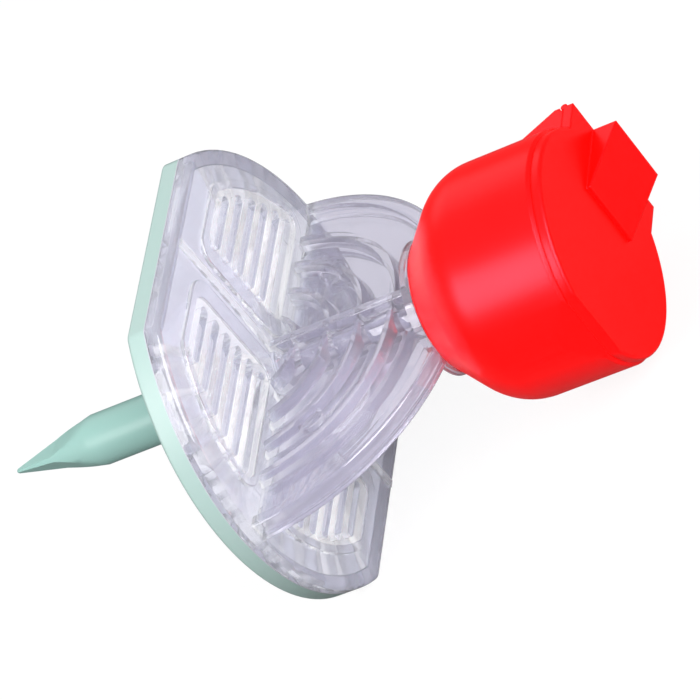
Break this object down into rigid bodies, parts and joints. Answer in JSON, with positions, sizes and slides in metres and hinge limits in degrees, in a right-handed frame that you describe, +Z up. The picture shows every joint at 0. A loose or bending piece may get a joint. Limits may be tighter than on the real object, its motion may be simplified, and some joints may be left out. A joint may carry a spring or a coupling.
{
  "type": "dispensing spike",
  "caption": "Vented vial spike: round plate with two flats and a hollow piercing spike, clear ribbed grip housing over a vent membrane, and a flip-lid cap over a Luer port.",
  "frame": {"origin": "centre of the bounding box on the surface that the part lies on", "axes": "+X from the spike's point towards the cap, +Y along the grip fan towards the hinge of the lid, +Z up. The part's own axis lies in the XZ plane and drops 11.82 degrees towards the cap, because the part rests on one flat of its flange and on the rim of its cup"},
  "size_m": [0.0624, 0.04, 0.0338],
  "materials": {
    "mint_plastic": "smooth moulded plastic with a soft gloss",
    "white_membrane": "matt white water-repelling filter film",
    "clear_plastic": "clear polished plastic with a faint cool tint",
    "red_plastic": "satin moulded plastic, fully coloured"
  },
  "bodies": {
    "spike": {"spike_plate": "mint_plastic", "vent_membrane": "white_membrane", "clear_housing": "clear_plastic", "cap_cup": "red_plastic"},
    "lid": {"flip_lid": "red_plastic"}
  },
  "joints": [
    {"name": "lid_hinge", "type": "hinge", "parent": "spike", "child": "lid", "pos_m": [0.02741, 0.0107, 0.01018], "axis": [0.2048, 0, 0.9788], "range_deg": [0, 140]}
  ]
}
